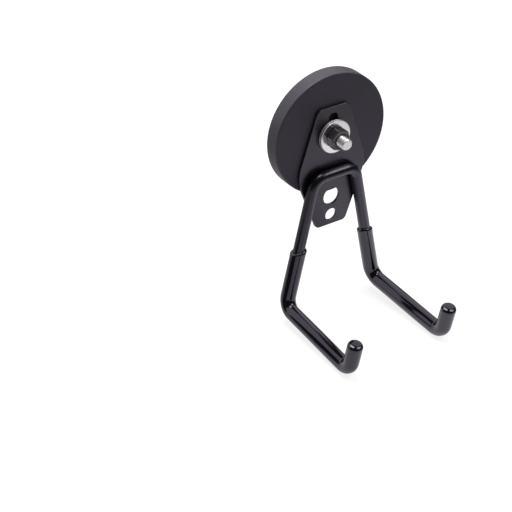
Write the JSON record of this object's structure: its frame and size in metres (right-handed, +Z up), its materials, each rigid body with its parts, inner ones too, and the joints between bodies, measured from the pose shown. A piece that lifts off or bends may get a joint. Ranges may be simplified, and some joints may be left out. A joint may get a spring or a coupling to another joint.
{
  "type": "magnetic hook",
  "caption": "Wall hook on a round rubber-covered magnet: a bent wire with dipped sleeves on its arms is welded to a stamped plate that is bolted to the magnet's stud.",
  "frame": {"origin": "centre of the magnet's flat wall face", "axes": "+Y into the wall, so the stud points along -Y to the front; +Z up; +X to the right as seen from the front"},
  "size_m": [0.0666, 0.0769, 0.1336],
  "materials": {
    "black_rubber": "matt moulded",
    "magnet": "nickel plated",
    "steel": "plain",
    "zinc": "bright zinc plated",
    "black_coat": "satin black coat",
    "black_nut": "black oxide",
    "dipped_vinyl": "glossy dipped"
  },
  "bodies": {
    "root": {"rubber_jacket": "black_rubber", "magnets": "magnet", "yoke_plate": "steel", "threaded_stud": "zinc", "hook_plate": "black_coat", "back_washer": "zinc", "flat_washer": "zinc", "hex_nut": "black_nut", "hook_rod": "black_coat", "grip_left": "dipped_vinyl", "grip_right": "dipped_vinyl"}
  },
  "joints": []
}
